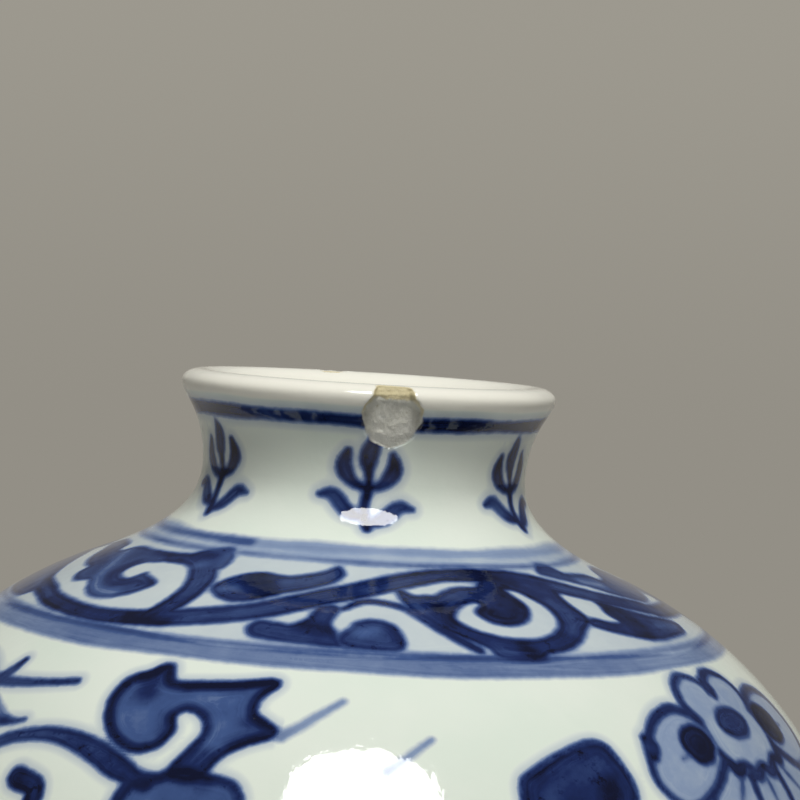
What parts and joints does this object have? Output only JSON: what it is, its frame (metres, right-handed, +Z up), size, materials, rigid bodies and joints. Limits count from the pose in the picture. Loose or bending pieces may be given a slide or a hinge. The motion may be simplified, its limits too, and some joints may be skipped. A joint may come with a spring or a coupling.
{
  "type": "meiping vase",
  "caption": "Tall plum vase with a small rolled mouth, full shoulder and narrow foot, white glaze painted in underglaze cobalt blue; holds a flowering branch.",
  "frame": {"origin": "centre of the foot ring's resting plane", "axes": "+Z up along the vase's axis through the mouth, -Y towards the viewer, +X to the viewer's right"},
  "size_m": [0.141, 0.141, 0.24],
  "materials": {
    "porcelain": "matte",
    "luting_slip": "matte",
    "painted_glaze": "gloss",
    "clear_glaze": "gloss"
  },
  "bodies": {
    "root": {"lower_body": "porcelain", "belly": "porcelain", "shoulder": "porcelain", "neck": "porcelain", "lower_slip": "luting_slip", "shoulder_slip": "luting_slip", "neck_slip": "luting_slip", "outer_glaze": "painted_glaze", "inner_glaze": "clear_glaze", "base_glaze": "clear_glaze"}
  },
  "joints": []
}
